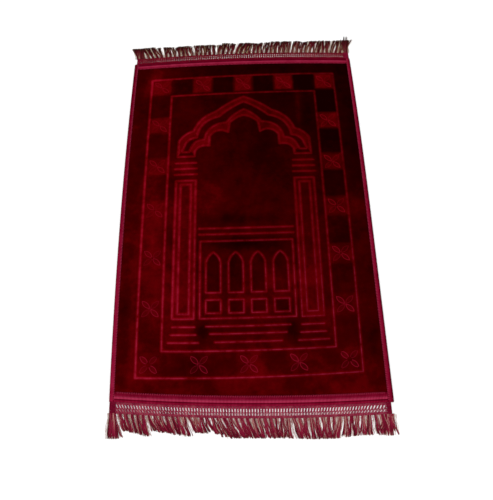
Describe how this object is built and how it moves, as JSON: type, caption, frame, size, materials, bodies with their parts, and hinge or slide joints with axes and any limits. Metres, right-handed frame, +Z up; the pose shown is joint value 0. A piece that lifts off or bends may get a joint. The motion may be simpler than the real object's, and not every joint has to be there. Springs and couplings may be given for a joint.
{
  "type": "prayer rug",
  "caption": "Flat plush prayer rug with a pressed arch, columns and flower border, folded tape bindings, and a ladder braid fringe at each end.",
  "frame": {"origin": "on the floor under the middle of the rug's bounding box, fringes included", "axes": "+Z up, +Y along the rug's length towards the head of the arch, +X to the right seen from the near end"},
  "size_m": [0.7074, 1.273, 0.0075],
  "materials": {
    "plush": "dense cut plush, dull with a soft sheen on the pressed lines",
    "tape": "smooth woven tape with a slight lustre",
    "yarn": "soft twisted yarn"
  },
  "bodies": {
    "root": {"pile_cloth": "plush", "binding_left": "tape", "binding_right": "tape", "binding_near": "tape", "binding_far": "tape", "fringe_near": "yarn", "fringe_far": "yarn"}
  },
  "joints": []
}
